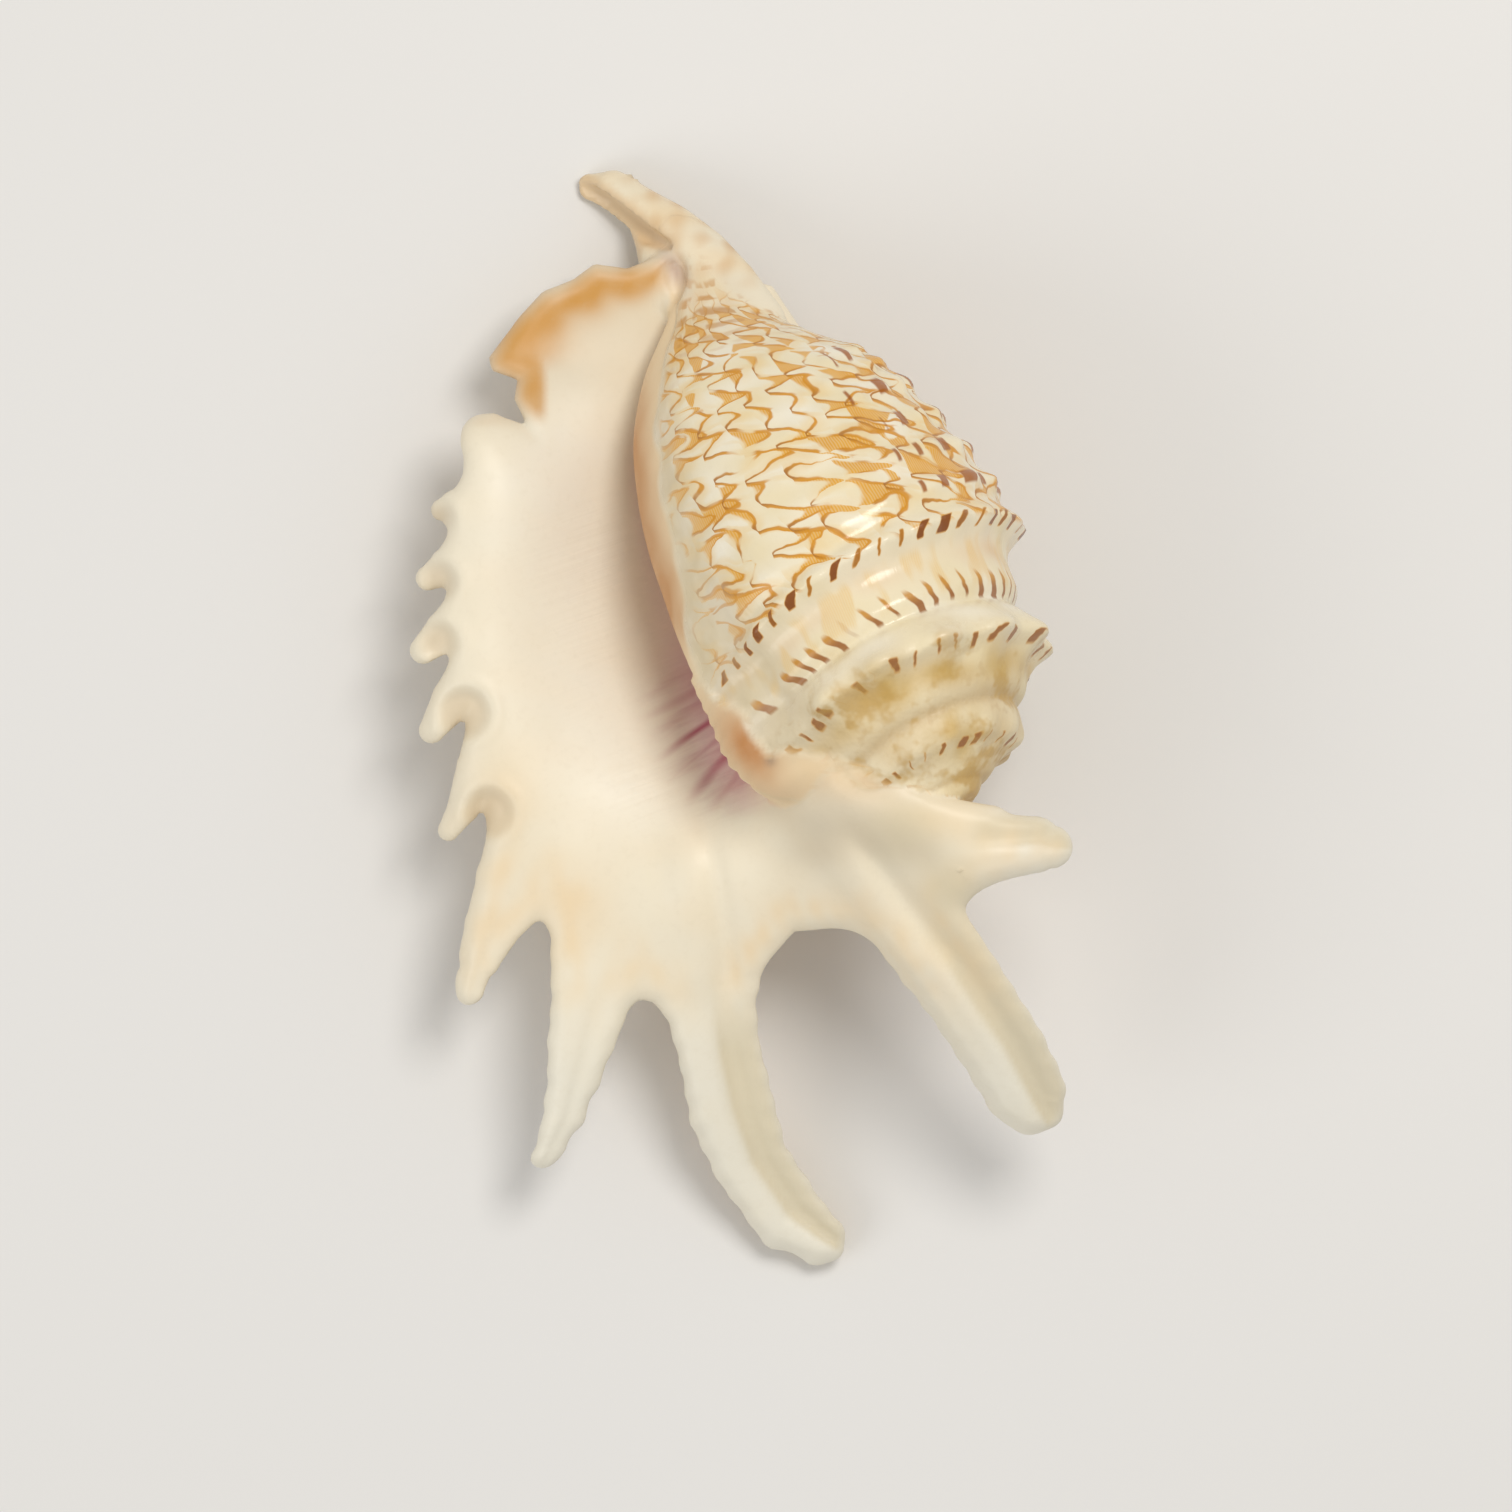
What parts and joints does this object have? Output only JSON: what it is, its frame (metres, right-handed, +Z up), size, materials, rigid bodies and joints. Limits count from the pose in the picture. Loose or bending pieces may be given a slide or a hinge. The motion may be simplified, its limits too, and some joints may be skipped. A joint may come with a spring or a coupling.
{
  "type": "spider conch shell",
  "caption": "Dry spider conch shell lying on its back, with a coiled body, a flared lip with long finger-like digits and a short curved siphonal canal.",
  "frame": {"origin": "centre of the bounding box in plan, on the surface the shell lies on", "axes": "+Z up out of the aperture side, +Y toward the siphonal canal, -X toward the flared lip"},
  "size_m": [0.0867, 0.1453, 0.0546],
  "materials": {
    "shell": "glossy porcelain-like shell, cream with brown and gold markings"
  },
  "bodies": {
    "root": {"shell": "shell"}
  },
  "joints": []
}
